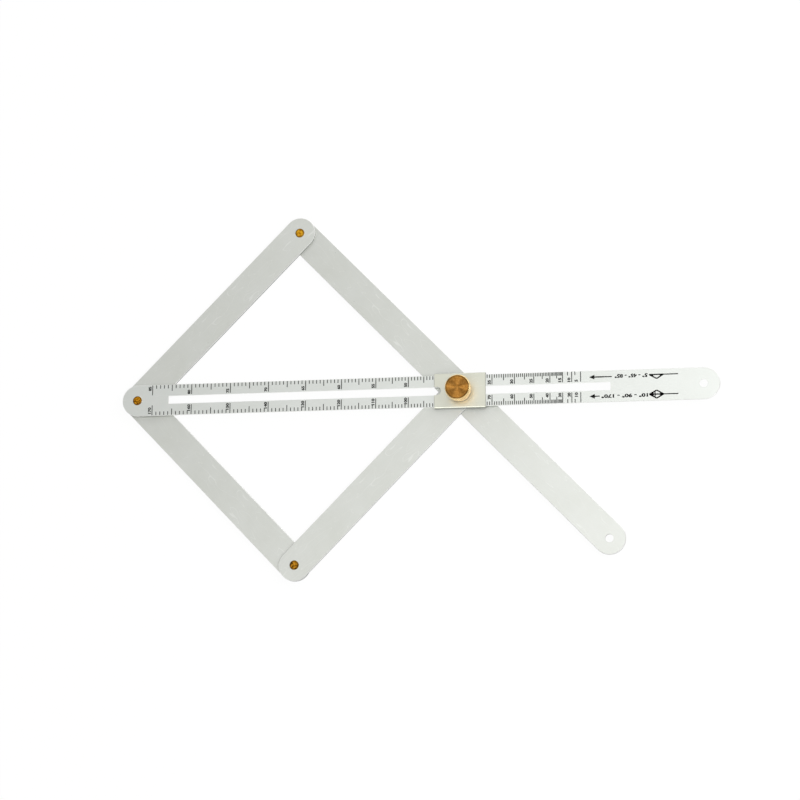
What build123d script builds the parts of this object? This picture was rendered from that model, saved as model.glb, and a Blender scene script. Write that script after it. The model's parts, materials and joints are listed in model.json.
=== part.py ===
from build123d import *
import math
import os

# Bevel gauge: four arms make a rhombus, and the slotted scale arm lies along its
# diagonal, so the sliding plate reads the angle between the two left arms.
# Millimetres, +Z up, the scale arm along +X, the lowest rivet heads on Z = 0.

# Flat aluminium bar that all five arms are cut from
bar_width = 20.0
bar_thickness = 1.5
edge_break = 0.2

# Linkage
pivot_pitch = 150.0
rest_half_angle = 45.72
widest_half_angle = 85.0
narrowest_half_angle = 5.0
long_arm_reach = 131.0

# Scale arm
slot_width = 5.2
slot_near_gap = 3.0
slot_far_gap = 1.8
plain_end = 56.8
hang_hole_diameter = 5.0

# Brass rivets at the three riveted pivots
rivet_shank_diameter = 4.0
rivet_face_diameter = 6.0
rivet_face_rise = 0.15
rivet_face_bevel = 0.1
rivet_head_diameter = 8.0
rivet_head_round = 0.4
countersink_angle = 90.0

# Friction washers between the layers
friction_washer_thickness = 0.3
friction_washer_diameter = 12.0

# Clamp: bolt, sliding plate, washer and knob
bolt_diameter = 5.0
bolt_head_diameter = 10.0
bolt_head_thickness = 0.9
bolt_tip_chamfer = 0.5
plate_length = 32.4
plate_sheet = 1.0
plate_fold_radius = 0.8
plate_notch_straight = 1.6
knob_washer_diameter = 12.0
knob_washer_thickness = 0.8
collar_diameter = 14.4
collar_height = 4.0
knob_diameter = 16.0
knob_height = 5.8
knob_top_chamfer = 0.6
knob_bottom_chamfer = 0.4
knob_roof = 2.0
knurl_count = 60
knurl_depth = 0.3

# Fits, each measured on the radius or on one side
seat_clearance = 0.02
running_clearance = 0.05
washer_clearance = 0.1
open_pivot_clearance = 0.3
plate_side_clearance = 0.15
plate_top_clearance = 0.05
bolt_tip_clearance = 0.8

# Heights of the layers, from the underside of the heads up
head_thickness = bolt_head_thickness + friction_washer_thickness
lower_z = head_thickness
lower_top_z = lower_z + bar_thickness
middle_z = lower_top_z + friction_washer_thickness
middle_top_z = middle_z + bar_thickness
scale_z = middle_top_z + friction_washer_thickness
scale_top_z = scale_z + bar_thickness
plate_z = scale_top_z + plate_top_clearance
plate_top_z = plate_z + plate_sheet
collar_z = plate_top_z + knob_washer_thickness
knob_z = collar_z + collar_height
knob_top_z = knob_z + knob_height


# Slider distance from the vertex pivot when the arms stand at a half angle
def slider_distance(half_angle):
    return 2 * pivot_pitch * math.cos(math.radians(half_angle))


# Lengths along the scale arm, measured from the vertex pivot
slot_start = slider_distance(widest_half_angle) - bolt_diameter / 2 - slot_near_gap
slot_end = slider_distance(narrowest_half_angle) + bolt_diameter / 2 + slot_far_gap
scale_hole_distance = slot_end + plain_end
scale_arm_length = scale_hole_distance + bar_width

# Pivots in plan, with the scale arm centred on the origin
vertex_x = bar_width / 2 - scale_arm_length / 2
pivot_x = vertex_x + slider_distance(rest_half_angle) / 2
pivot_y = pivot_pitch * math.sin(math.radians(rest_half_angle))
slider_x = vertex_x + slider_distance(rest_half_angle)
vertex = (vertex_x, 0)
top_pivot = (pivot_x, pivot_y)
bottom_pivot = (pivot_x, -pivot_y)
slider_pivot = (slider_x, 0)

# Bores
seat_bore = rivet_shank_diameter + 2 * seat_clearance
running_bore = rivet_shank_diameter + 2 * running_clearance
slider_running_bore = bolt_diameter + 2 * running_clearance
slider_open_bore = bolt_diameter + 2 * open_pivot_clearance
countersink_diameter = rivet_face_diameter + 2 * seat_clearance


# Plane at a height whose X runs along an arm, away from its first pivot
def arm_plane(pivot, height, angle):
    along = Vector(1, 0, 0).rotate(Axis.Z, angle)
    return Plane(origin=(*pivot, height), x_dir=along, z_dir=(0, 0, 1))


# Upright plane through a pivot, for profiles turned about that pivot's axis
def turning_plane(pivot):
    return Plane(origin=(*pivot, 0), x_dir=(1, 0, 0), z_dir=(0, -1, 0))


def pivot_axis(pivot):
    return Axis((*pivot, 0), (0, 0, 1))


# Sharp edges round the outline of a bar, at its top and bottom faces
def outline_edges(bar):
    faces = bar.faces().filter_by(Axis.Z).sort_by(SortBy.AREA)[-2:]
    return [edge for face in faces for edge in face.outer_wire().edges()]


scale_plane = arm_plane(vertex, scale_z, 0)
upper_left_plane = arm_plane(vertex, middle_z, rest_half_angle)
lower_left_plane = arm_plane(vertex, lower_z, -rest_half_angle)
long_arm_plane = arm_plane(top_pivot, lower_z, -rest_half_angle)
lower_right_plane = arm_plane(bottom_pivot, middle_z, rest_half_angle)
long_arm_span = pivot_pitch + long_arm_reach

# Scale arm: the top layer, slotted for the clamp bolt, with a hole to hang it by
with BuildPart() as scale_arm:
    with BuildSketch(scale_plane):
        with Locations((scale_hole_distance / 2, 0)):
            SlotCenterToCenter(scale_hole_distance, bar_width)
        with Locations(((slot_start + slot_end) / 2, 0)):
            Rectangle(slot_end - slot_start, slot_width, mode=Mode.SUBTRACT)
        with Locations((scale_hole_distance, 0)):
            Circle(hang_hole_diameter / 2, mode=Mode.SUBTRACT)
    extrude(amount=bar_thickness)
    chamfer(outline_edges(scale_arm), edge_break)
    with Locations(scale_plane.offset(bar_thickness)):
        CounterSinkHole(seat_bore / 2, countersink_diameter / 2, bar_thickness, countersink_angle)
scale_arm.part.label = "scale_arm"

# Upper left arm: middle layer, from the vertex up to the top pivot
with BuildPart() as upper_left_arm:
    with BuildSketch(upper_left_plane):
        with Locations((pivot_pitch / 2, 0)):
            SlotCenterToCenter(pivot_pitch, bar_width)
        Circle(running_bore / 2, mode=Mode.SUBTRACT)
    extrude(amount=bar_thickness)
    chamfer(outline_edges(upper_left_arm), edge_break)
    with Locations(arm_plane(top_pivot, middle_top_z, 0)):
        CounterSinkHole(seat_bore / 2, countersink_diameter / 2, bar_thickness, countersink_angle)
upper_left_arm.part.label = "upper_left_arm"

# Lower left arm: lowest layer, from the vertex down to the bottom pivot
with BuildPart() as lower_left_arm:
    with BuildSketch(lower_left_plane):
        with Locations((pivot_pitch / 2, 0)):
            SlotCenterToCenter(pivot_pitch, bar_width)
        with Locations((0, 0), (pivot_pitch, 0)):
            Circle(running_bore / 2, mode=Mode.SUBTRACT)
    extrude(amount=bar_thickness)
    chamfer(outline_edges(lower_left_arm), edge_break)
lower_left_arm.part.label = "lower_left_arm"

# Long arm: lowest layer, from the top pivot under the slider to its free end
with BuildPart() as long_arm:
    with BuildSketch(long_arm_plane):
        with Locations((long_arm_span / 2, 0)):
            SlotCenterToCenter(long_arm_span, bar_width)
        Circle(running_bore / 2, mode=Mode.SUBTRACT)
        with Locations((pivot_pitch, 0)):
            Circle(slider_running_bore / 2, mode=Mode.SUBTRACT)
        with Locations((long_arm_span, 0)):
            Circle(hang_hole_diameter / 2, mode=Mode.SUBTRACT)
    extrude(amount=bar_thickness)
    chamfer(outline_edges(long_arm), edge_break)
long_arm.part.label = "long_arm"

# Lower right arm: middle layer, from the bottom pivot up to the slider
with BuildPart() as lower_right_arm:
    with BuildSketch(lower_right_plane):
        with Locations((pivot_pitch / 2, 0)):
            SlotCenterToCenter(pivot_pitch, bar_width)
        with Locations((pivot_pitch, 0)):
            Circle(slider_open_bore / 2, mode=Mode.SUBTRACT)
    extrude(amount=bar_thickness)
    chamfer(outline_edges(lower_right_arm), edge_break)
    with Locations(arm_plane(bottom_pivot, middle_top_z, 0)):
        CounterSinkHole(seat_bore / 2, countersink_diameter / 2, bar_thickness, countersink_angle)
lower_right_arm.part.label = "lower_right_arm"


# Brass rivets: pan head below, shank, and a face spread into the countersink of the
# uppermost bar, which stands a little proud
rivet_places = {
    "vertex_rivet": (vertex, scale_top_z),
    "top_rivet": (top_pivot, middle_top_z),
    "bottom_rivet": (bottom_pivot, middle_top_z),
}
shank_radius = rivet_shank_diameter / 2
face_radius = rivet_face_diameter / 2
head_radius = rivet_head_diameter / 2
cone_depth = (face_radius - shank_radius) / math.tan(math.radians(countersink_angle / 2))
rivets = []
for rivet_name, (pivot, seat_top_z) in rivet_places.items():
    face_z = seat_top_z + rivet_face_rise
    with BuildPart() as rivet:
        with BuildSketch(turning_plane(pivot)):
            with BuildLine():
                Polyline(
                    (0, face_z),
                    (0, 0),
                    (head_radius - rivet_head_round, 0),
                    (head_radius, rivet_head_round),
                    (head_radius, head_thickness),
                    (shank_radius, head_thickness),
                    (shank_radius, seat_top_z - cone_depth),
                    (face_radius, seat_top_z),
                    (face_radius, face_z),
                    close=True,
                )
            make_face()
        revolve(axis=pivot_axis(pivot))
        chamfer(rivet.edges().group_by(Axis.Z)[-1], rivet_face_bevel)
    rivet.part.label = rivet_name
    rivets.append(rivet.part)

# Friction washers: one fills each gap between two layers, and one lies on the bolt
# head, so the metal arms don't rub on each other
rivet_hole = rivet_shank_diameter / 2 + washer_clearance
bolt_hole = bolt_diameter / 2 + washer_clearance
washer_places = {
    "vertex_washer_upper": (vertex, middle_top_z, rivet_hole),
    "vertex_washer_lower": (vertex, lower_top_z, rivet_hole),
    "top_washer": (top_pivot, lower_top_z, rivet_hole),
    "bottom_washer": (bottom_pivot, lower_top_z, rivet_hole),
    "slider_washer_upper": (slider_pivot, middle_top_z, bolt_hole),
    "slider_washer_lower": (slider_pivot, lower_top_z, bolt_hole),
    "bolt_head_washer": (slider_pivot, bolt_head_thickness, bolt_hole),
}
washers = []
for washer_name, (pivot, height, hole_radius) in washer_places.items():
    outer_diameter = friction_washer_diameter
    if washer_name == "bolt_head_washer":
        outer_diameter = bolt_head_diameter
    with BuildPart() as washer:
        with BuildSketch(arm_plane(pivot, height, 0)):
            Circle(outer_diameter / 2)
            Circle(hole_radius, mode=Mode.SUBTRACT)
        extrude(amount=friction_washer_thickness)
    washer.part.label = washer_name
    washers.append(washer.part)

# Clamp bolt: low round head under the long arm, and a shank that passes the long
# arm, the lower right arm, the slot and the plate and ends inside the knob
bolt_tip_z = knob_top_z - knob_roof - bolt_tip_clearance
with BuildPart() as clamp_bolt:
    with BuildSketch(arm_plane(slider_pivot, 0, 0)):
        Circle(bolt_head_diameter / 2)
    extrude(amount=bolt_head_thickness)
    chamfer(clamp_bolt.edges().group_by(Axis.Z)[0], edge_break)
    with BuildSketch(arm_plane(slider_pivot, bolt_head_thickness, 0)):
        Circle(bolt_diameter / 2)
    extrude(amount=bolt_tip_z - bolt_head_thickness)
    chamfer(clamp_bolt.edges().group_by(Axis.Z)[-1], bolt_tip_chamfer)
clamp_bolt.part.label = "clamp_bolt"

# Slider plate: sheet folded down over both edges of the scale arm. Its left edge
# reads the scale and has a round-ended notch over the slot, and its walls stop level
# with the underside of the scale arm
plate_inner_half = bar_width / 2 + plate_side_clearance
plate_outer_half = plate_inner_half + plate_sheet
plate_left = (slider_x - plate_length / 2, 0)
plate_section = Plane(origin=(*plate_left, 0), x_dir=(0, 1, 0), z_dir=(1, 0, 0))
with BuildPart() as slider_plate:
    with BuildSketch(plate_section):
        with Locations((0, (scale_z + plate_top_z) / 2)):
            Rectangle(2 * plate_outer_half, plate_top_z - scale_z)
        with Locations((0, (scale_z + plate_z) / 2)):
            Rectangle(2 * plate_inner_half, plate_z - scale_z, mode=Mode.SUBTRACT)
    extrude(amount=plate_length)
    top_edges = slider_plate.edges().filter_by(Axis.X).group_by(Axis.Z)[-1]
    fillet(top_edges, min(plate_fold_radius, plate_sheet - edge_break))
    with BuildSketch(arm_plane(plate_left, plate_z, 0)):
        SlotCenterToCenter(2 * plate_notch_straight, slot_width)
    extrude(amount=plate_sheet, mode=Mode.SUBTRACT)
    end_edges = slider_plate.faces().sort_by(Axis.Z)[-1].edges().filter_by(Axis.Y)
    chamfer(end_edges, edge_break)
    with Locations(arm_plane(slider_pivot, plate_top_z, 0)):
        Hole(slider_running_bore / 2, plate_sheet)
slider_plate.part.label = "slider_plate"

# Washer between the plate and the knob
with BuildPart() as knob_washer:
    with BuildSketch(arm_plane(slider_pivot, plate_top_z, 0)):
        Circle(knob_washer_diameter / 2)
        Circle(bolt_hole, mode=Mode.SUBTRACT)
    extrude(amount=knob_washer_thickness)
    chamfer(knob_washer.edges().group_by(SortBy.LENGTH)[-1], edge_break)
knob_washer.part.label = "knob_washer"

# Knob: turned brass with a straight knurl, a collar below and a blind bore
with BuildPart() as knob:
    with BuildSketch(arm_plane(slider_pivot, knob_z, 0)):
        Circle(knob_diameter / 2)
        with PolarLocations(knob_diameter / 2, knurl_count):
            RegularPolygon(knurl_depth, 4, mode=Mode.SUBTRACT)
    extrude(amount=knob_height)
    with BuildSketch(turning_plane(slider_pivot)):
        with BuildLine():
            Polyline(
                (0, knob_z),
                (knob_diameter / 2 - knob_bottom_chamfer, knob_z),
                (knob_diameter / 2, knob_z + knob_bottom_chamfer),
                (knob_diameter / 2, knob_top_z - knob_top_chamfer),
                (knob_diameter / 2 - knob_top_chamfer, knob_top_z),
                (0, knob_top_z),
                close=True,
            )
        make_face()
    revolve(axis=pivot_axis(slider_pivot), mode=Mode.INTERSECT)
    with BuildSketch(arm_plane(slider_pivot, collar_z, 0)):
        Circle(collar_diameter / 2)
    extrude(amount=collar_height)
    with BuildSketch(arm_plane(slider_pivot, collar_z, 0)):
        Circle(slider_running_bore / 2)
    extrude(amount=knob_top_z - knob_roof - collar_z, mode=Mode.SUBTRACT)
knob.part.label = "knob"

pieces = [
    scale_arm.part,
    upper_left_arm.part,
    lower_left_arm.part,
    long_arm.part,
    lower_right_arm.part,
    clamp_bolt.part,
    slider_plate.part,
    knob_washer.part,
    knob.part,
]

os.makedirs("parts", exist_ok=True)
for piece in pieces + rivets + washers:
    export_step(piece, f"parts/{piece.label}.step")
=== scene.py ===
import json
import math

import bmesh
import bpy
from mathutils import Matrix, Vector


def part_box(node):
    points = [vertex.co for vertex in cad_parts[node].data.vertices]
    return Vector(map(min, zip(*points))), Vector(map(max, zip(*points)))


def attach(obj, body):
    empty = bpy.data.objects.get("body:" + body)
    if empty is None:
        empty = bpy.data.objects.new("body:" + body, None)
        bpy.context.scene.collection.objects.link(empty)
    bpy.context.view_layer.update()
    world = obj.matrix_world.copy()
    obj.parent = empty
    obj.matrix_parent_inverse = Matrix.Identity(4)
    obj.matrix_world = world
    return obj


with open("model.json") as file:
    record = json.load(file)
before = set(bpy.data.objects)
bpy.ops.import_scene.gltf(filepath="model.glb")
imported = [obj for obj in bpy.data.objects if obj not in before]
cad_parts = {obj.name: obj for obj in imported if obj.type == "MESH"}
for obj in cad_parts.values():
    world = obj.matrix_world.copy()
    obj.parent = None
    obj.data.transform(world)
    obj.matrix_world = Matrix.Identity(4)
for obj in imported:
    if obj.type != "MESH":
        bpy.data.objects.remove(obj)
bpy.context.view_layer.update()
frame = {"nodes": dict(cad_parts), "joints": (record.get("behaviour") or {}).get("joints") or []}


# ---- Lowest layer: lower left arm and long arm ----
# Flat aluminium strip, 20 mm by 1.5 mm, with its ends rounded and its edges broken. It is
# satin ground along its length and left bare, so it is pale grey with a fine grain.
MM = 0.001
pivots = {joint["name"]: Vector(joint["pos_m"]) for joint in frame["joints"] if "pos_m" in joint}
vertex = pivots["vertex_fold"]
top_pivot = pivots["top_pivot"]
bottom_pivot = pivots["bottom_pivot"]
slider_pivot = pivots["slider_pivot"]
fold_angle = math.atan2(top_pivot.y - vertex.y, top_pivot.x - vertex.x)


def add_node(tree, kind, inputs=(), **settings):
    new = tree.nodes.new(kind)
    for setting, value in settings.items():
        setattr(new, setting, value)
    for socket, value in dict(inputs).items():
        if isinstance(value, bpy.types.NodeSocket):
            tree.links.new(value, new.inputs[socket])
        else:
            new.inputs[socket].default_value = value
    return new


def linear(colour):
    levels = [int(colour[i:i + 2], 16) / 255 for i in (1, 3, 5)]
    return [v / 12.92 if v <= 0.04045 else ((v + 0.055) / 1.055) ** 2.4 for v in levels] + [1.0]


def new_material(name):
    material = bpy.data.materials.new(name)
    material.use_nodes = True
    material.node_tree.nodes.clear()
    return material


def dress(node, material):
    mesh = frame["nodes"][node].data
    mesh.materials.clear()
    mesh.materials.append(material)


# Ground grain is 0.05 mm wide on the real bar, and is drawn 0.3 mm wide so that it shows
GRAIN_WIDTH = 0.3 * MM
GRAIN_LENGTH = 14 * MM
SMUDGE_SIZE = 22 * MM
PIT_SPACING = 9 * MM
SCRATCH_LENGTH = 26 * MM
SCRATCH_SPACING = 5 * MM
SCRATCH_SLANT = 0.35
EDGE_ROUGHNESS = 0.28
WALL_ROUGHNESS = 0.3


# Satin aluminium: metal reflections blurred by the grain, duller where fingers have been,
# side walls coloured dark on the arms and the plate, partly a duller sheared tone and partly
# painted shade, and bright on the scale arm, a painted highlight, and broken edges that are
# smoother, in a colour of their own that on the bars is a painted highlight.
# A stretch along a bar can be painted brighter, a painted highlight where more light falls on it:
# the last argument says from where to where along the bar this comes in, and how strong it is.
def satin_bar(name, start, angle, colour="#DEE0DB", handled="#D7D9D3", roughness=0.46,
              edge_colour="#F6F6F4", painted_wall_colour="#666864", painted_bright_stretch=None):
    material = new_material(name)
    tree = material.node_tree
    place = add_node(tree, "ShaderNodeTexCoord")
    along = add_node(tree, "ShaderNodeMapping", {"Vector": place.outputs["Object"],
                     "Location": start, "Rotation": (0, 0, angle)}, vector_type="TEXTURE")
    bar = along.outputs["Vector"]
    stretched = add_node(tree, "ShaderNodeMapping", {"Vector": bar,
                         "Scale": (1 / GRAIN_LENGTH, 1 / GRAIN_WIDTH, 1 / GRAIN_WIDTH)})
    grain = add_node(tree, "ShaderNodeTexNoise", {"Vector": stretched.outputs["Vector"],
                     "Scale": 1.0, "Detail": 3.0, "Roughness": 0.6})
    smudge = add_node(tree, "ShaderNodeTexNoise", {"Vector": bar, "Scale": 1 / SMUDGE_SIZE,
                      "Detail": 4.0, "Roughness": 0.55})
    pits = add_node(tree, "ShaderNodeTexVoronoi", {"Vector": bar, "Scale": 1 / PIT_SPACING})
    pit = add_node(tree, "ShaderNodeMapRange", {"Value": pits.outputs["Distance"],
                   "From Min": 0.012, "From Max": 0.03, "To Min": 0.55, "To Max": 0.0})
    slanted = add_node(tree, "ShaderNodeMapping", {"Vector": bar, "Rotation": (0, 0, SCRATCH_SLANT),
                       "Scale": (1 / SCRATCH_LENGTH, 1 / SCRATCH_SPACING, 0)})
    waves = add_node(tree, "ShaderNodeTexNoise", {"Vector": slanted.outputs["Vector"], "Scale": 1.0,
                     "Detail": 1.0})
    middle = add_node(tree, "ShaderNodeMath", {0: waves.outputs["Fac"], 1: 0.5},
                      operation="SUBTRACT")
    distance = add_node(tree, "ShaderNodeMath", {0: middle.outputs[0]}, operation="ABSOLUTE")
    scratch = add_node(tree, "ShaderNodeMapRange", {"Value": distance.outputs[0], "From Min": 0.0,
                       "From Max": 0.006, "To Min": 0.35, "To Max": 0.0})
    upright = add_node(tree, "ShaderNodeSeparateXYZ", {"Vector": place.outputs["Normal"]})
    facing = add_node(tree, "ShaderNodeMath", {0: upright.outputs["Z"]}, operation="ABSOLUTE")
    face = add_node(tree, "ShaderNodeMapRange", {"Value": facing.outputs[0], "From Min": 0.8,
                    "From Max": 0.95})
    wall = add_node(tree, "ShaderNodeMapRange", {"Value": facing.outputs[0], "From Min": 0.5,
                    "From Max": 0.1})
    tone = add_node(tree, "ShaderNodeMapRange", {"Value": smudge.outputs["Fac"], "From Min": 0.3,
                    "From Max": 0.7})
    clean = add_node(tree, "ShaderNodeMix", {"Factor": tone.outputs[0], "A": linear(colour),
                     "B": linear(handled)}, data_type="RGBA")
    pitted = add_node(tree, "ShaderNodeMix", {"Factor": pit.outputs[0],
                      "A": clean.outputs["Result"], "B": linear("#7E807C")}, data_type="RGBA")
    marked = add_node(tree, "ShaderNodeMix", {"Factor": scratch.outputs[0],
                      "A": pitted.outputs["Result"], "B": linear("#F7F8F5")}, data_type="RGBA")
    # Painted highlight: a lighter colour blended in along the bar between the two given places
    if painted_bright_stretch:
        bright_start, bright_full, strength = painted_bright_stretch
        along_bar = add_node(tree, "ShaderNodeSeparateXYZ", {"Vector": bar})
        brightening = add_node(tree, "ShaderNodeMapRange", {"Value": along_bar.outputs["X"],
                       "From Min": bright_start, "From Max": bright_full, "To Max": strength},
                       interpolation_type="SMOOTHSTEP")
        marked = add_node(tree, "ShaderNodeMix", {"Factor": brightening.outputs[0],
                          "A": marked.outputs["Result"], "B": linear("#FAFCF8")}, data_type="RGBA")
    # Broken edges take the edge colour; on the bars it is lighter than the face, a painted
    # highlight
    broken = add_node(tree, "ShaderNodeMix", {"Factor": face.outputs[0], "A": linear(edge_colour),
                      "B": marked.outputs["Result"]}, data_type="RGBA")
    # Side walls take their own colour: painted shade where it is dark, a painted highlight where it
    # is bright
    painted_walls = add_node(tree, "ShaderNodeMix", {"Factor": wall.outputs[0],
                       "A": broken.outputs["Result"], "B": linear(painted_wall_colour)}, data_type="RGBA")
    dull = add_node(tree, "ShaderNodeMath", {0: smudge.outputs["Fac"], 1: 0.12,
                    2: roughness - 0.06}, operation="MULTIPLY_ADD")
    grained = add_node(tree, "ShaderNodeMath", {0: grain.outputs["Fac"], 1: 0.1,
                       2: dull.outputs[0]}, operation="MULTIPLY_ADD")
    edged = add_node(tree, "ShaderNodeMix", {"Factor": face.outputs[0], "A": EDGE_ROUGHNESS,
                     "B": grained.outputs[0]})
    rough = add_node(tree, "ShaderNodeMix", {"Factor": wall.outputs[0],
                     "A": edged.outputs["Result"], "B": WALL_ROUGHNESS})
    relief = add_node(tree, "ShaderNodeBump", {"Height": grain.outputs["Fac"], "Strength": 0.35,
                      "Distance": 0.004 * MM})
    shader = add_node(tree, "ShaderNodeBsdfPrincipled", {"Base Color": painted_walls.outputs["Result"],
                      "Metallic": 1.0, "Roughness": rough.outputs["Result"],
                      "Normal": relief.outputs["Normal"]})
    add_node(tree, "ShaderNodeOutputMaterial", {"Surface": shader.outputs["BSDF"]})
    return material


dress("lower_left_arm", satin_bar("satin_aluminium_lower_left_arm", vertex, -fold_angle))
# The long arm is a shade darker, and its free end carries a painted highlight
dress("long_arm",
      satin_bar("satin_aluminium_long_arm", top_pivot, -fold_angle, colour="#DBDDD8",
                handled="#D4D6D0", painted_bright_stretch=(130 * MM, 240 * MM, 0.19)))


# ---- Middle layer: upper left arm and lower right arm ----
# The same satin aluminium strip, countersunk at the outer pivots for the rivets' faces.
# The grain runs along each bar, so it crosses the grain of the arms below.
dress("upper_left_arm", satin_bar("satin_aluminium_upper_left_arm", vertex, fold_angle))
dress("lower_right_arm", satin_bar("satin_aluminium_lower_right_arm", bottom_pivot, fold_angle))


# ---- Friction washers ----
# Punched from 0.3 mm natural nylon sheet, one in each gap between two bars and one on the
# bolt's head. They are milky white, smooth and a little waxy, and show only at their rims.
nylon = new_material("natural_nylon_sheet")
tree = nylon.node_tree
place = add_node(tree, "ShaderNodeTexCoord")
cloud = add_node(tree, "ShaderNodeTexNoise", {"Vector": place.outputs["Object"],
                 "Scale": 1 / (3 * MM), "Detail": 3.0})
milky = add_node(tree, "ShaderNodeMix", {"Factor": cloud.outputs["Fac"], "A": linear("#E9E6DC"),
                 "B": linear("#D6D2C5")}, data_type="RGBA")
waxy = add_node(tree, "ShaderNodeMapRange", {"Value": cloud.outputs["Fac"], "To Min": 0.4,
                "To Max": 0.55})
shader = add_node(tree, "ShaderNodeBsdfPrincipled", {"Base Color": milky.outputs["Result"],
                  "Roughness": waxy.outputs[0], "IOR": 1.53})
add_node(tree, "ShaderNodeOutputMaterial", {"Surface": shader.outputs["BSDF"]})
for washer in ("vertex_washer_upper", "vertex_washer_lower", "top_washer", "bottom_washer",
               "slider_washer_upper", "slider_washer_lower", "bolt_head_washer"):
    dress(washer, nylon)


# ---- Scale arm ----
# The top bar, slotted for the clamp bolt. Its face is ground finer than the other arms'
# before the scale is printed on it, so it looks a little brighter and smoother, and its
# side walls are coloured bright, a painted highlight where they face the light.
scale_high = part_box("scale_arm")[1]
dress("scale_arm",
      satin_bar("satin_aluminium_scale", vertex, 0, colour="#ECEFEB", handled="#E5E8E3",
                roughness=0.36, painted_wall_colour="#F4F5F2"))


# ---- Printed scale on the scale arm ----
# Screen printed in black ink: marks along both edges, numbers beside every tenth degree,
# and near the plain end an arrow, the scale's range and a small sign for each edge.
INK = 0.02 * MM
face_z = scale_high.z
half_width = scale_high.y
mark_edge = half_width - 0.25 * MM
long_mark = 6.45 * MM
middle_mark = 3.95 * MM
short_mark = 2.25 * MM
mark_width = 0.5 * MM
pivot_pitch = (top_pivot - vertex).xy.length
reading_edge = slider_pivot.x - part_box("slider_plate")[0].x
# The last mark of each edge is printed a little further out, which leaves room for its number
last_mark_shift = 2.1 * MM
last_number_shift = 1.1 * MM

# Ink dried matt: nearly black, thinner in places, where the metal greys it
ink = new_material("screen_printed_ink")
tree = ink.node_tree
place = add_node(tree, "ShaderNodeTexCoord")
speckle = add_node(tree, "ShaderNodeTexNoise", {"Vector": place.outputs["Object"],
                   "Scale": 1 / (0.35 * MM), "Detail": 4.0, "Roughness": 0.7})
thin = add_node(tree, "ShaderNodeMapRange", {"Value": speckle.outputs["Fac"], "From Min": 0.55,
                "From Max": 0.75})
inked = add_node(tree, "ShaderNodeMix", {"Factor": thin.outputs[0], "A": linear("#0B0C0B"),
                 "B": linear("#3A3B39")}, data_type="RGBA")
dried = add_node(tree, "ShaderNodeMapRange", {"Value": speckle.outputs["Fac"], "To Min": 0.6,
                 "To Max": 0.8})
shader = add_node(tree, "ShaderNodeBsdfPrincipled", {"Base Color": inked.outputs["Result"],
                  "Roughness": dried.outputs[0], "Specular IOR Level": 0.15})
add_node(tree, "ShaderNodeOutputMaterial", {"Surface": shader.outputs["BSDF"]})

# The marks' tree: one bar of ink per angle and edge. The slider stands at twice the pitch
# times the cosine of half the angle, and the plate's left edge reads there.
marks = bpy.data.node_groups.new("degree_marks", "GeometryNodeTree")
marks.interface.new_socket("Geometry", in_out="OUTPUT", socket_type="NodeSocketGeometry")
mark_inputs = {
    "Pivot pitch": pivot_pitch,
    "Reading edge": reading_edge,
    "Widest angle": 170.0,
    "Fine marks end": 30.0,
    "Coarse step": 5.0,
    "Narrowest angle": 10.0,
    "Last mark shift": last_mark_shift,
    "Edge": mark_edge,
    "Long mark": long_mark,
    "Middle mark": middle_mark,
    "Short mark": short_mark,
    "Mark width": mark_width,
    "Ink thickness": INK,
}
for label in mark_inputs:
    marks.interface.new_socket(label, in_out="INPUT", socket_type="NodeSocketFloat")
given = add_node(marks, "NodeGroupInput").outputs
fine = add_node(marks, "ShaderNodeMath", {0: given["Widest angle"], 1: given["Fine marks end"]},
                operation="SUBTRACT")
coarse = add_node(marks, "ShaderNodeMath", {0: given["Fine marks end"],
                  1: given["Narrowest angle"]}, operation="SUBTRACT")
steps = add_node(marks, "ShaderNodeMath", {0: coarse.outputs[0], 1: given["Coarse step"]},
                 operation="DIVIDE")
last = add_node(marks, "ShaderNodeMath", {0: fine.outputs[0], 1: steps.outputs[0]}, operation="ADD")
one_edge = add_node(marks, "ShaderNodeMath", {0: last.outputs[0], 1: 1.0}, operation="ADD")
both_edges = add_node(marks, "ShaderNodeMath", {0: one_edge.outputs[0], 1: 2.0},
                      operation="MULTIPLY")
points = add_node(marks, "GeometryNodePoints", {"Count": both_edges.outputs[0]})
index = add_node(marks, "GeometryNodeInputIndex").outputs["Index"]
number = add_node(marks, "ShaderNodeMath", {0: index, 1: one_edge.outputs[0]}, operation="MODULO")
lower = add_node(marks, "ShaderNodeMath", {0: index, 1: last.outputs[0]}, operation="GREATER_THAN")
side = add_node(marks, "ShaderNodeMath", {0: lower.outputs[0], 1: -2.0, 2: 1.0},
                operation="MULTIPLY_ADD")
fine_count = add_node(marks, "ShaderNodeMath", {0: number.outputs[0], 1: fine.outputs[0]},
                      operation="MINIMUM")
past_fine = add_node(marks, "ShaderNodeMath", {0: number.outputs[0], 1: fine_count.outputs[0]},
                     operation="SUBTRACT")
coarse_turn = add_node(marks, "ShaderNodeMath", {0: past_fine.outputs[0], 1: given["Coarse step"]},
                       operation="MULTIPLY")
fine_angle = add_node(marks, "ShaderNodeMath", {0: given["Widest angle"], 1: fine_count.outputs[0]},
                      operation="SUBTRACT")
angle = add_node(marks, "ShaderNodeMath", {0: fine_angle.outputs[0], 1: coarse_turn.outputs[0]},
                 operation="SUBTRACT")
half_turn = add_node(marks, "ShaderNodeMath", {0: angle.outputs[0], 1: math.pi / 360},
                     operation="MULTIPLY")
cosine = add_node(marks, "ShaderNodeMath", {0: half_turn.outputs[0]}, operation="COSINE")
reach = add_node(marks, "ShaderNodeMath", {0: cosine.outputs[0], 1: given["Pivot pitch"]},
                 operation="MULTIPLY")
diagonal = add_node(marks, "ShaderNodeMath", {0: reach.outputs[0], 1: 2.0}, operation="MULTIPLY")
along = add_node(marks, "ShaderNodeMath", {0: diagonal.outputs[0], 1: given["Reading edge"]},
                 operation="SUBTRACT")
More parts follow.
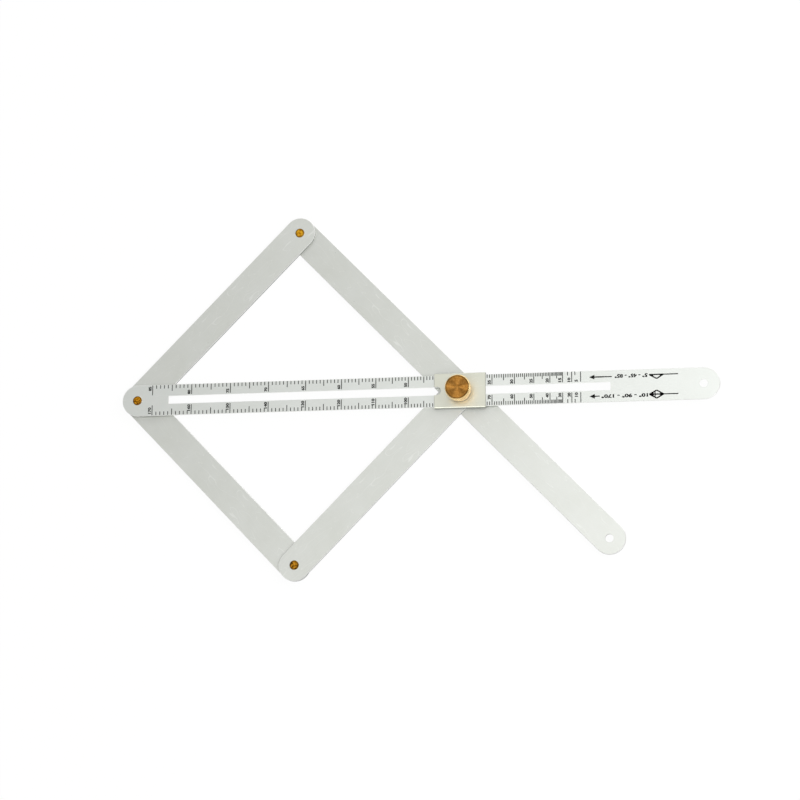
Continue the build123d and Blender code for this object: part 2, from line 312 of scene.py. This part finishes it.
is_last = add_node(marks, "ShaderNodeMath", {0: number.outputs[0], 1: last.outputs[0], 2: 0.5},
                   operation="COMPARE")
printed_at = add_node(marks, "ShaderNodeMath", {0: is_last.outputs[0], 1: given["Last mark shift"],
                      2: along.outputs[0]}, operation="MULTIPLY_ADD")
tenth_odd = add_node(marks, "ShaderNodeMath", {0: angle.outputs[0], 1: 10.0},
                     operation="FLOORED_MODULO")
fifth_odd = add_node(marks, "ShaderNodeMath", {0: angle.outputs[0], 1: 5.0},
                     operation="FLOORED_MODULO")
is_tenth = add_node(marks, "ShaderNodeMath", {0: tenth_odd.outputs[0], 1: 0.5},
                    operation="LESS_THAN")
is_fifth = add_node(marks, "ShaderNodeMath", {0: fifth_odd.outputs[0], 1: 0.5},
                    operation="LESS_THAN")
is_fine = add_node(marks, "ShaderNodeMath", {0: past_fine.outputs[0], 1: 0.5},
                   operation="LESS_THAN")
is_middle = add_node(marks, "ShaderNodeMath", {0: is_fifth.outputs[0], 1: is_fine.outputs[0]},
                     operation="MULTIPLY")
shorter = add_node(marks, "ShaderNodeMix", {"Factor": is_middle.outputs[0],
                   "A": given["Short mark"], "B": given["Middle mark"]})
length = add_node(marks, "ShaderNodeMix", {"Factor": is_tenth.outputs[0],
                  "A": shorter.outputs["Result"], "B": given["Long mark"]})
inward = add_node(marks, "ShaderNodeMath", {0: length.outputs["Result"], 1: -0.5, 2: given["Edge"]},
                  operation="MULTIPLY_ADD")
across = add_node(marks, "ShaderNodeMath", {0: inward.outputs[0], 1: side.outputs[0]},
                  operation="MULTIPLY")
spot = add_node(marks, "ShaderNodeCombineXYZ", {"X": printed_at.outputs[0], "Y": across.outputs[0]})
spread = add_node(marks, "GeometryNodeSetPosition", {"Geometry": points.outputs[0],
                  "Position": spot.outputs[0]})
size = add_node(marks, "ShaderNodeCombineXYZ", {"X": given["Mark width"],
                "Y": length.outputs["Result"], "Z": given["Ink thickness"]})
block = add_node(marks, "GeometryNodeMeshCube", {"Size": (1.0, 1.0, 1.0)})
placed = add_node(marks, "GeometryNodeInstanceOnPoints", {"Points": spread.outputs[0],
                  "Instance": block.outputs["Mesh"], "Scale": size.outputs[0]})
solid = add_node(marks, "GeometryNodeRealizeInstances", {"Geometry": placed.outputs[0]})
printed = add_node(marks, "GeometryNodeSetMaterial", {"Geometry": solid.outputs[0],
                   "Material": ink})
add_node(marks, "NodeGroupOutput", {"Geometry": printed.outputs[0]})

seed = bpy.data.objects.new("degree_marks_seed", bpy.data.meshes.new("degree_marks_seed"))
bpy.context.scene.collection.objects.link(seed)
modifier = seed.modifiers.new("marks", "NODES")
modifier.node_group = marks
for item in marks.interface.items_tree:
    if item.in_out == "INPUT":
        modifier[item.identifier] = mark_inputs[item.name]
depsgraph = bpy.context.evaluated_depsgraph_get()
marks_mesh = bpy.data.meshes.new_from_object(seed.evaluated_get(depsgraph))
seed.modifiers.remove(modifier)
bpy.data.objects.remove(seed)
marks_mesh.transform(Matrix.Translation((vertex.x, 0, face_z)))


def add_piece(name, mesh, body):
    piece = bpy.data.objects.new(name, mesh)
    bpy.context.scene.collection.objects.link(piece)
    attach(piece, body)
    return piece


add_piece("degree_marks", marks_mesh, "scale")


def mark_place(degrees):
    return 2 * pivot_pitch * math.cos(math.radians(degrees / 2)) - reading_edge


# Lettering as thin ink: height is the digits' height, width the length of the whole line
def print_line(target, body, height, width, turn, place, boldness):
    curve = bpy.data.curves.new("print_line", "FONT")
    curve.body = body
    curve.resolution_u = 3
    curve.extrude = 0.01
    curve.offset = boldness
    text = bpy.data.objects.new("print_line", curve)
    bpy.context.scene.collection.objects.link(text)
    graph = bpy.context.evaluated_depsgraph_get()
    mesh = bpy.data.meshes.new_from_object(text.evaluated_get(graph))
    low = Vector([min(v.co[i] for v in mesh.vertices) for i in range(3)])
    high = Vector([max(v.co[i] for v in mesh.vertices) for i in range(3)])
    mesh.transform(Matrix.Translation((-low.x, -low.y, 0)))
    mesh.transform(Matrix.Diagonal((width / (high.x - low.x), height / (high.y - low.y), INK, 1)))
    mesh.transform(Matrix.Rotation(turn, 4, "Z"))
    mesh.transform(Matrix.Translation(place))
    target.from_mesh(mesh)
    bpy.data.objects.remove(text)
    bpy.data.curves.remove(curve)
    bpy.data.meshes.remove(mesh)


number_boldness = 0.055
line_boldness = 0.05
digit_height = 2.0 * MM
digit_advance = 1.45 * MM
digit_gap = 0.1 * MM
number_gap = 0.72 * MM
number_end = half_width - 6.65 * MM
first_number_shift = 2.75 * MM
numbers = bmesh.new()
for degrees in range(170, 0, -10):
    shift = first_number_shift if degrees == 170 else 0
    baseline = (vertex.x + mark_place(degrees) - number_gap
                + (last_number_shift if degrees == 10 else 0))
    half = str(degrees // 2)
    half_length = len(half) * digit_advance - digit_gap
    print_line(numbers, half, digit_height, half_length, math.pi / 2,
               (baseline, number_end + shift, face_z), number_boldness)
    whole = str(degrees)
    whole_length = len(whole) * digit_advance - digit_gap
    start = -number_end - whole_length - shift * 0.45
    print_line(numbers, whole, digit_height, whole_length, math.pi / 2, (baseline, start, face_z),
               number_boldness)

# The scale's range beside each arrow, upside down as seen with the vertex on the left: its
# length, its end measured from the vertex and its height on the bar, in millimetres
range_height = 2.5 * MM
for angles, length_mm, end_mm, y_mm in (("5° - 45° - 85°", 20.2, 325.9, 7.3),
                                        ("10° - 90° - 170°", 28.6, 326.0, -5.1)):
    print_line(numbers, angles, range_height, length_mm * MM, math.pi,
               (vertex.x + end_mm * MM, y_mm * MM, face_z), line_boldness)
numbers_mesh = bpy.data.meshes.new("scale_numbers")
numbers.to_mesh(numbers_mesh)
numbers.free()
numbers_mesh.materials.append(ink)
add_piece("scale_numbers", numbers_mesh, "scale")


# A flat ink patch with these corners, in millimetres from the vertex pivot
def print_patch(target, corners):
    bottom = [target.verts.new((vertex.x + x * MM, y * MM, face_z - INK)) for x, y in corners]
    top = [target.verts.new((vertex.x + x * MM, y * MM, face_z + INK)) for x, y in corners]
    target.faces.new(top)
    target.faces.new(bottom[::-1])
    for i, corner in enumerate(bottom):
        after = (i + 1) % len(bottom)
        target.faces.new((corner, bottom[after], top[after], top[i]))


def print_stroke(target, start, end, width):
    across = Vector((start[1] - end[1], end[0] - start[0])).normalized() * width / 2
    start, end = Vector(start), Vector(end)
    print_patch(target, [start - across, end - across, end + across, start + across])


# Arrows towards the marks, in millimetres from the vertex: tip, end of the bold part, end
# of the shaft, and height on the bar
signs = bmesh.new()
stroke = 0.65
bold_stroke = 0.8
head_length = 3.3
head_half = 1.5
shaft_overlap = 0.4
for tip, bold_end, shaft_end, y in ((290.0, 299.0, 304.0, 5.9), (290.1, 294.4, 296.4, -6.2)):
    print_patch(signs,
                [(tip, y), (tip + head_length, y - head_half), (tip + head_length, y + head_half)])
    print_stroke(signs, (tip + head_length - shaft_overlap, y), (bold_end, y), bold_stroke)
    print_stroke(signs, (bold_end, y), (shaft_end, y), stroke)

# A half diamond for the half angle and a whole diamond, halved by a line, for the included
# angle. Both are filled in at their tips, and the whole one has a bar across it.
fill_length = 2.7
far_fill_length = 2.3
bar_place = 3.5
leader_end = 344.5
for low_x, peak_x, high_x, y, reach_y in ((326.8, 331.5, 335.6, 6.35, 2.55),
                                          (326.8, 331.3, 335.6, -6.0, 2.5)):
    for side_y in ((-1,) if y > 0 else (-1, 1)):
        peak = (peak_x, y + side_y * reach_y)
        print_stroke(signs, (low_x, y), peak, bold_stroke)
        print_stroke(signs, peak, (high_x, y), bold_stroke)
        for tip, inward in ((low_x, fill_length), (high_x, -far_fill_length)):
            fill_reach = reach_y * inward / (peak_x - tip)
            corners = [(tip, y), (tip + inward, y), (tip + inward, y + side_y * fill_reach)]
            print_patch(signs, corners[::side_y if inward > 0 else -side_y])
    if y < 0:
        bar_reach = reach_y * bar_place / (peak_x - low_x)
        print_stroke(signs, (low_x + bar_place, y - bar_reach), (low_x + bar_place, y + bar_reach),
                     stroke)
    print_stroke(signs, (low_x, y), (high_x, y), bold_stroke)
    print_stroke(signs, (high_x, y), (leader_end, y), stroke)
signs_mesh = bpy.data.meshes.new("scale_signs")
signs.to_mesh(signs_mesh)
signs.free()
signs_mesh.materials.append(ink)
add_piece("scale_signs", signs_mesh, "scale")


# ---- Rivets ----
# Turned from brass bar: a pan head below and a shank whose end is spread into the
# countersink. The faces are flat and mottled, with painted shade darkening them outwards
# where a spread face curves away, and a bright spread edge.
TOOL_RING = 0.35 * MM
PATINA_SIZE = 1.3 * MM
RIM_SHADE_WIDTH = 1.0 * MM
BURNISH_WIDTH = 0.1 * MM


# Brass turned on a lathe: warm metal whose fine rings draw the light out into streaks
# across them, so the sheen follows the rings. The rings are drawn coarser than the real
# feed marks of 0.05 mm so that they show. "edge" is how much painted shade darkens the face
# at its rim, and "polish" is the colour of the bevels beyond it; side walls are toned from it
# towards the face colour, which on the knob is a painted shade of its knurled side.
def turned_brass(name, axis, pale, deep, edge, rim_radius, roughness, streak, polish):
    material = new_material(name)
    tree = material.node_tree
    place = add_node(tree, "ShaderNodeTexCoord")
    centred = add_node(tree, "ShaderNodeVectorMath", {0: place.outputs["Object"],
                       1: (axis.x, axis.y, 0)}, operation="SUBTRACT")
    flat = add_node(tree, "ShaderNodeVectorMath", {0: centred.outputs[0], 1: (1, 1, 0)},
                    operation="MULTIPLY")
    radius = add_node(tree, "ShaderNodeVectorMath", {0: flat.outputs[0]},
                      operation="LENGTH").outputs["Value"]
    outward = add_node(tree, "ShaderNodeVectorTransform", {"Vector": flat.outputs[0]},
                       vector_type="VECTOR", convert_from="OBJECT", convert_to="WORLD")
    turns = add_node(tree, "ShaderNodeMath", {0: radius, 1: 2 * math.pi / TOOL_RING},
                     operation="MULTIPLY")
    rings = add_node(tree, "ShaderNodeMath", {0: turns.outputs[0]}, operation="SINE")
    patina = add_node(tree, "ShaderNodeTexNoise", {"Vector": place.outputs["Object"],
                      "Scale": 1 / PATINA_SIZE, "Detail": 5.0, "Roughness": 0.6})
    upright = add_node(tree, "ShaderNodeSeparateXYZ", {"Vector": place.outputs["Normal"]})
    facing = add_node(tree, "ShaderNodeMath", {0: upright.outputs["Z"]}, operation="ABSOLUTE")
    level = add_node(tree, "ShaderNodeMapRange", {"Value": facing.outputs[0], "From Min": 0.8,
                     "From Max": 0.95})
    inside = add_node(tree, "ShaderNodeMapRange", {"Value": radius,
                      "From Min": rim_radius + BURNISH_WIDTH, "From Max": rim_radius})
    face = add_node(tree, "ShaderNodeMath", {0: level.outputs[0], 1: inside.outputs[0]},
                    operation="MULTIPLY")
    rim = add_node(tree, "ShaderNodeMapRange", {"Value": radius, "From Min": rim_radius - RIM_SHADE_WIDTH,
                   "From Max": rim_radius})
    mottled = add_node(tree, "ShaderNodeMapRange", {"Value": patina.outputs["Fac"], "From Min": 0.4,
                       "From Max": 0.6})
    ring_tone = add_node(tree, "ShaderNodeMath", {0: rings.outputs[0], 1: 0.12,
                         2: mottled.outputs[0]}, operation="MULTIPLY_ADD")
    brass = add_node(tree, "ShaderNodeMix", {"Factor": ring_tone.outputs[0], "A": linear(pale),
                     "B": linear(deep)}, data_type="RGBA")
    rim_shade = add_node(tree, "ShaderNodeMath", {0: rim.outputs[0], 1: edge}, operation="MULTIPLY")
    # Painted shade: the face is darkened towards its rim in a dark brown
    rim_shaded = add_node(tree, "ShaderNodeMix", {"Factor": rim_shade.outputs[0],
                      "A": brass.outputs["Result"], "B": linear("#3E2608")}, data_type="RGBA")
    wall = add_node(tree, "ShaderNodeMapRange", {"Value": facing.outputs[0], "From Min": 0.5,
                    "From Max": 0.1, "To Max": 0.4})
    # Painted shade: side walls are toned from the bevel colour towards the face colour
    side = add_node(tree, "ShaderNodeMix", {"Factor": wall.outputs[0], "A": linear(polish),
                    "B": linear(pale)}, data_type="RGBA")
    polished = add_node(tree, "ShaderNodeMix", {"Factor": face.outputs[0],
                        "A": side.outputs["Result"], "B": rim_shaded.outputs["Result"]},
                        data_type="RGBA")
    worn = add_node(tree, "ShaderNodeMath", {0: patina.outputs["Fac"], 1: 0.14,
                    2: roughness - 0.07}, operation="MULTIPLY_ADD")
    rough = add_node(tree, "ShaderNodeMix", {"Factor": face.outputs[0], "A": 0.18,
                     "B": worn.outputs[0]})
    height = add_node(tree, "ShaderNodeMath", {0: rings.outputs[0], 1: face.outputs[0]},
                      operation="MULTIPLY")
    relief = add_node(tree, "ShaderNodeBump", {"Height": height.outputs[0], "Strength": 0.3,
                      "Distance": 0.006 * MM})
    shader = add_node(tree, "ShaderNodeBsdfPrincipled", {"Base Color": polished.outputs["Result"],
                      "Metallic": 1.0, "Roughness": rough.outputs["Result"], "Anisotropic": streak,
                      "Tangent": outward.outputs[0], "Normal": relief.outputs["Normal"]})
    add_node(tree, "ShaderNodeOutputMaterial", {"Surface": shader.outputs["BSDF"]})
    return material


for rivet, pivot, pale, deep in (("vertex_rivet", vertex, "#FFB02A", "#6A3E04"),
                                 ("top_rivet", top_pivot, "#FFC234", "#B4720C"),
                                 ("bottom_rivet", bottom_pivot, "#DC982A", "#3E2602")):
    dress(rivet,
          turned_brass("dulled_brass_" + rivet, pivot, pale, deep, edge=1.0, rim_radius=2.9 * MM,
                       roughness=0.36, streak=0.3, polish="#F2DFB4"))


# ---- Clamp bolt ----
# Cold headed from steel with a low round head, thread rolled and zinc plated: bluish
# bright metal with a faint mottle. It shows only from below and inside the slot.
THREAD_PITCH = 0.8 * MM
HEAD_TOP = 1.0 * MM
zinc = new_material("bright_zinc_plated_steel")
tree = zinc.node_tree
place = add_node(tree, "ShaderNodeTexCoord")
spangle = add_node(tree, "ShaderNodeTexNoise", {"Vector": place.outputs["Object"],
                   "Scale": 1 / (0.8 * MM), "Detail": 3.0})
height = add_node(tree, "ShaderNodeSeparateXYZ", {"Vector": place.outputs["Object"]})
thread_turns = add_node(tree, "ShaderNodeMath", {0: height.outputs["Z"],
                        1: 2 * math.pi / THREAD_PITCH}, operation="MULTIPLY")
thread = add_node(tree, "ShaderNodeMath", {0: thread_turns.outputs[0]}, operation="SINE")
above_head = add_node(tree, "ShaderNodeMath", {0: height.outputs["Z"], 1: HEAD_TOP},
                      operation="GREATER_THAN")
threaded = add_node(tree, "ShaderNodeMath", {0: thread.outputs[0], 1: above_head.outputs[0]},
                    operation="MULTIPLY")
plated = add_node(tree, "ShaderNodeMix", {"Factor": spangle.outputs["Fac"], "A": linear("#C9CCCE"),
                  "B": linear("#AEB1B2")}, data_type="RGBA")
hazed = add_node(tree, "ShaderNodeMapRange", {"Value": spangle.outputs["Fac"], "To Min": 0.22,
                 "To Max": 0.4})
relief = add_node(tree, "ShaderNodeBump", {"Height": threaded.outputs[0], "Strength": 1.0,
                  "Distance": 0.12 * MM})
shader = add_node(tree, "ShaderNodeBsdfPrincipled", {"Base Color": plated.outputs["Result"],
                  "Metallic": 1.0, "Roughness": hazed.outputs[0],
                  "Normal": relief.outputs["Normal"]})
add_node(tree, "ShaderNodeOutputMaterial", {"Surface": shader.outputs["BSDF"]})
dress("clamp_bolt", zinc)


# ---- Slider plate ----
# Folded from 1 mm aluminium sheet over both edges of the scale arm, notched at the end
# that reads the scale. It is mill finished, so smoother and a little warmer than the arms.
plate_start = Vector((slider_pivot.x, 0, 0))
# Its side walls keep the arms' dark painted shade, and its bends and edges take a colour a little
# darker than its face.
dress("slider_plate",
      satin_bar("mill_aluminium_plate", plate_start, 0, colour="#E6E7D9", handled="#DEDFD0",
                roughness=0.34, edge_colour="#CDCEC0"))


# ---- Knob and its washer ----
# Turned from brass bar with a straight knurled head, a plain shoulder below it, a faced top
# and a bevelled rim, on a turned brass washer. The rim is bright and the top shows its rings.
knob_low, knob_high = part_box("knob")
knob_radius = (knob_high.x - knob_low.x) / 2
knob_bevel = 0.6 * MM
dress("knob_washer",
      turned_brass("turned_brass_washer", slider_pivot, "#C08B45", "#A06F2E", edge=0.0,
                   rim_radius=6.0 * MM, roughness=0.32, streak=0.5, polish="#E9C27A"))
# The knob's top darkens towards its rim and its knurled side is toned darker, both painted shade
dress("knob",
      turned_brass("turned_brass_knob", slider_pivot, "#C08A43", "#A87330", edge=0.8,
                   rim_radius=knob_radius - knob_bevel, roughness=0.44, streak=1.0,
                   polish="#F5D698"))


# ---- Floor, light and camera ----
# A white table top in a pale room, six soft lamps overhead and round the gauge, and a
# camera above the table, a little to the right of the slider and in front of it.
floor_half = 12.0
floor_z = -0.05 * MM
floor_corners = [(x * floor_half, y * floor_half, floor_z)
                 for x, y in ((-1, -1), (1, -1), (1, 1), (-1, 1))]
floor_mesh = bpy.data.meshes.new("floor")
floor_mesh.from_pydata(floor_corners, [], [(0, 1, 2, 3)])
floor = bpy.data.objects.new("floor", floor_mesh)
bpy.context.scene.collection.objects.link(floor)
white = new_material("white_table")
tree = white.node_tree
ray = add_node(tree, "ShaderNodeLightPath")
seen = add_node(tree, "ShaderNodeMath", {0: ray.outputs["Is Camera Ray"],
                1: ray.outputs["Is Glossy Ray"]}, operation="MAXIMUM")
seen_or_through = add_node(tree, "ShaderNodeMath", {0: seen.outputs[0],
                           1: ray.outputs["Is Transmission Ray"]}, operation="MAXIMUM")
share = add_node(tree, "ShaderNodeMath", {0: seen_or_through.outputs[0], 1: 0.95},
                 operation="MULTIPLY")
lit = add_node(tree, "ShaderNodeBsdfDiffuse", {"Color": linear("#F4F4F2")})
glow = add_node(tree, "ShaderNodeEmission", {"Color": linear("#FFFFFF"), "Strength": 1.0})
blend = add_node(tree, "ShaderNodeMixShader", {0: share.outputs[0], 1: lit.outputs[0],
                 2: glow.outputs[0]})
add_node(tree, "ShaderNodeOutputMaterial", {"Surface": blend.outputs[0]})
floor_mesh.materials.append(white)

# The room: a soft light overhead, and walls that are brightest in front and at the right,
# where they show in the bars' broken edges
world = bpy.data.worlds.new("studio")
bpy.context.scene.world = world
world.use_nodes = True
tree = world.node_tree
tree.nodes.clear()
direction = add_node(tree, "ShaderNodeTexCoord").outputs["Generated"]
lift = add_node(tree, "ShaderNodeSeparateXYZ", {"Vector": direction}).outputs["Z"]
overhead = add_node(tree, "ShaderNodeMapRange", {"Value": lift, "From Min": 0.85, "From Max": 1.0,
                    "To Min": 0.2, "To Max": 1.08}, interpolation_type="SMOOTHSTEP")
walls = add_node(tree, "ShaderNodeMapRange", {"Value": lift, "From Min": 0.75, "From Max": 0.3,
                 "To Max": 0.2}, interpolation_type="SMOOTHSTEP")
front_right = add_node(tree, "ShaderNodeVectorMath", {0: direction, 1: (0.41, -0.91, 0.0)},
                       operation="DOT_PRODUCT")
window = add_node(tree, "ShaderNodeMapRange", {"Value": front_right.outputs["Value"],
                  "From Min": 0.3, "From Max": 0.95, "To Max": 0.4},
                  interpolation_type="SMOOTHSTEP")
walled = add_node(tree, "ShaderNodeMath", {0: overhead.outputs[0], 1: walls.outputs[0]},
                  operation="ADD")
level = add_node(tree, "ShaderNodeMath", {0: walled.outputs[0], 1: window.outputs[0]},
                 operation="ADD")
room = add_node(tree, "ShaderNodeBackground", {"Color": linear("#FFFFFF"),
                "Strength": level.outputs[0]})
add_node(tree, "ShaderNodeOutputWorld", {"Surface": room.outputs[0]})

# Each lamp's name, bearing from +X and height in degrees, width in metres and watts
lamp_distance = 1.75
lamps = (
    ("right_lamp", 10, 40, 1.0, 16.6),
    ("overhead_lamp", 0, 75, 0.6, 0.6),
    ("corner_lamp", 60, 30, 2.0, 13.5),
    ("back_lamp", 98, 27, 2.0, 6.0),
    ("front_lamp", -100, 55, 1.2, 10.8),
    ("low_lamp", -31, 22, 1.6, 1.5),
)
for name, bearing, height, width, power in lamps:
    panel = bpy.data.lights.new(name, "AREA")
    panel.size = width
    panel.energy = power
    lamp = bpy.data.objects.new(name, panel)
    turned = (Matrix.Rotation(math.radians(bearing), 4, "Z")
              @ Matrix.Rotation(math.radians(90 - height), 4, "Y"))
    lamp.matrix_world = turned @ Matrix.Translation((0, 0, lamp_distance))
    bpy.context.scene.collection.objects.link(lamp)

camera = bpy.data.cameras.new("camera")
camera.sensor_width = 36.0
camera.lens = 92.99
view = bpy.data.objects.new("camera", camera)
view.location = (0.22412, -0.26588, 1.25259)
view.rotation_euler = [math.radians(turn) for turn in (11.7091, 10.4959, 0.3947)]
bpy.context.scene.collection.objects.link(view)
bpy.context.scene.camera = view
bpy.context.scene.view_settings.view_transform = "Standard"
